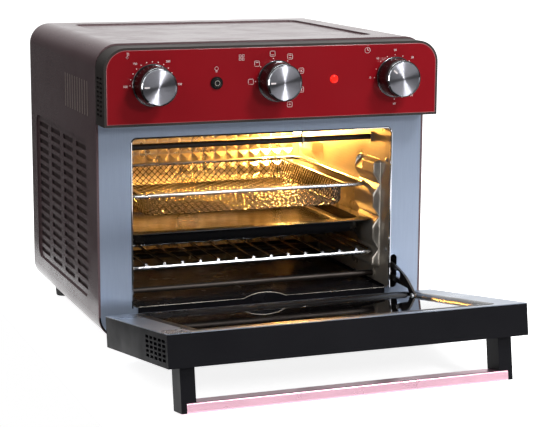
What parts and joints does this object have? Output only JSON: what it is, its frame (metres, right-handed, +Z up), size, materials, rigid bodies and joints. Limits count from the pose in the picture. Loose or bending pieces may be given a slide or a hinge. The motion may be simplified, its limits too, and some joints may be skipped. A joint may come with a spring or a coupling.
{
  "type": "air fryer oven",
  "caption": "Worktop air fryer oven with a drop-down glass door, control knobs, mesh basket, tray and rack.",
  "frame": {"origin": "on the worktop, at the middle of the whole object's box with the door open", "axes": "+X right seen from the front, +Y from the door to the back, +Z up"},
  "size_m": [0.38, 0.5754, 0.335],
  "materials": {
    "gunmetal_paint": "fine metallic powder coat, satin",
    "bezel_paint": "satin gunmetal",
    "red_gloss": "high gloss deep red",
    "satin_steel": "satin steel sheet",
    "cavity_steel": "bright coated steel sheet",
    "zinc_steel": "zinc plated",
    "black_gloss": "gloss black",
    "spun_metal": "radially spun",
    "black_plastic": "satin black",
    "lamp_red": "lit red lens",
    "heater_tube": "heat-darkened steel tube",
    "ceramic": "unglazed white",
    "bulb_glass": "lit warm bulb",
    "seal_rubber": "satin silicone",
    "dark_glass": "smoked, polished",
    "handle_metal": "rose anodised, brushed",
    "bright_wire": "bright plated wire",
    "black_enamel": "gloss black enamel",
    "foot_rubber": "matt"
  },
  "bodies": {
    "housing": {"outer_shell": "gunmetal_paint", "left_side_grille": "gunmetal_paint", "right_side_grille": "gunmetal_paint", "control_bezel": "bezel_paint", "control_panel": "red_gloss", "front_frame": "satin_steel", "cavity_left_wall": "cavity_steel", "cavity_right_wall": "cavity_steel", "cavity_ceiling": "cavity_steel", "cavity_floor": "cavity_steel", "cavity_rear_wall": "cavity_steel", "base_plate": "zinc_steel", "rear_panel": "zinc_steel", "fan_shroud": "zinc_steel", "motor_bracket": "zinc_steel", "fan_motor": "zinc_steel", "rear_screws": "zinc_steel", "hinge_brackets": "zinc_steel", "button_bezel": "black_gloss", "thermostat": "black_plastic", "function_switch": "black_plastic", "timer_switch": "black_plastic", "light_switch": "black_plastic", "cord_gland": "black_plastic", "power_lamp": "lamp_red", "top_heaters": "heater_tube", "bottom_heaters": "heater_tube", "heater_collars": "ceramic", "lamp_socket": "ceramic", "lamp_bulb": "bulb_glass", "feet": "foot_rubber"},
    "door": {"door_shell": "black_plastic", "door_inner_panel": "satin_steel", "door_seal": "seal_rubber", "door_inner_glass": "dark_glass", "door_outer_glass": "dark_glass", "handle_posts": "black_plastic", "handle_bar": "handle_metal", "handle_screws": "zinc_steel", "hinge_pins": "zinc_steel", "link_bracket": "zinc_steel", "link_pin": "zinc_steel"},
    "door_link": {"door_link": "zinc_steel"},
    "temperature_knob": {"temperature_knob": "black_gloss", "temperature_knob_face": "spun_metal", "temperature_shaft": "zinc_steel"},
    "function_knob": {"function_knob": "black_gloss", "function_knob_face": "spun_metal", "function_shaft": "zinc_steel"},
    "timer_knob": {"timer_knob": "black_gloss", "timer_knob_face": "spun_metal", "timer_shaft": "zinc_steel"},
    "light_button": {"light_button": "black_gloss"},
    "basket": {"basket_frame": "bright_wire", "basket_mesh": "bright_wire"},
    "baking_tray": {"baking_tray": "black_enamel"},
    "wire_rack": {"wire_rack": "bright_wire"},
    "crumb_tray": {"crumb_tray": "black_enamel"},
    "fan_wheel": {"fan_wheel": "zinc_steel"}
  },
  "joints": [
    {"name": "door_hinge", "type": "hinge", "parent": "housing", "child": "door", "pos_m": [0, -0.0628, 0.0215], "axis": [-1, 0, 0], "range_deg": [0, 81]},
    {"name": "door_link_pivot", "type": "hinge", "parent": "door", "child": "door_link", "pos_m": [0.1568, -0.08859, 0.05039], "axis": [-1, 0, 0], "range_deg": [-95, 0]},
    {"name": "temperature_knob_turn", "type": "hinge", "parent": "housing", "child": "temperature_knob", "pos_m": [-0.138, -0.03229, 0.294], "axis": [0, 1, 0], "range_deg": [0, 180]},
    {"name": "function_knob_turn", "type": "hinge", "parent": "housing", "child": "function_knob", "pos_m": [0, -0.03229, 0.294], "axis": [0, 1, 0], "range_deg": [0, 240]},
    {"name": "timer_knob_turn", "type": "hinge", "parent": "housing", "child": "timer_knob", "pos_m": [0.138, -0.03229, 0.294], "axis": [0, 1, 0], "range_deg": [-38, 237]},
    {"name": "light_button_press", "type": "slide", "parent": "housing", "child": "light_button", "axis": [0, 1, 0], "range_m": [0, 0.0025], "stiffness_N_per_m": 400},
    {"name": "basket_slide", "type": "slide", "parent": "housing", "child": "basket", "axis": [0, 1, 0], "range_m": [-0.22, 0]},
    {"name": "baking_tray_slide", "type": "slide", "parent": "housing", "child": "baking_tray", "axis": [0, 1, 0], "range_m": [-0.22, 0]},
    {"name": "wire_rack_slide", "type": "slide", "parent": "housing", "child": "wire_rack", "axis": [0, 1, 0], "range_m": [-0.2, 0]},
    {"name": "crumb_tray_slide", "type": "slide", "parent": "housing", "child": "crumb_tray", "axis": [0, 1, 0], "range_m": [-0.022, 0]},
    {"name": "fan_spin", "type": "hinge", "parent": "housing", "child": "fan_wheel", "pos_m": [0, 0.1127, 0.25], "axis": [0, 0, 1], "continuous": true}
  ],
  "couplings": [
    {"joint": "door_link_pivot", "follows": "door_hinge", "ratio": -1.16}
  ]
}
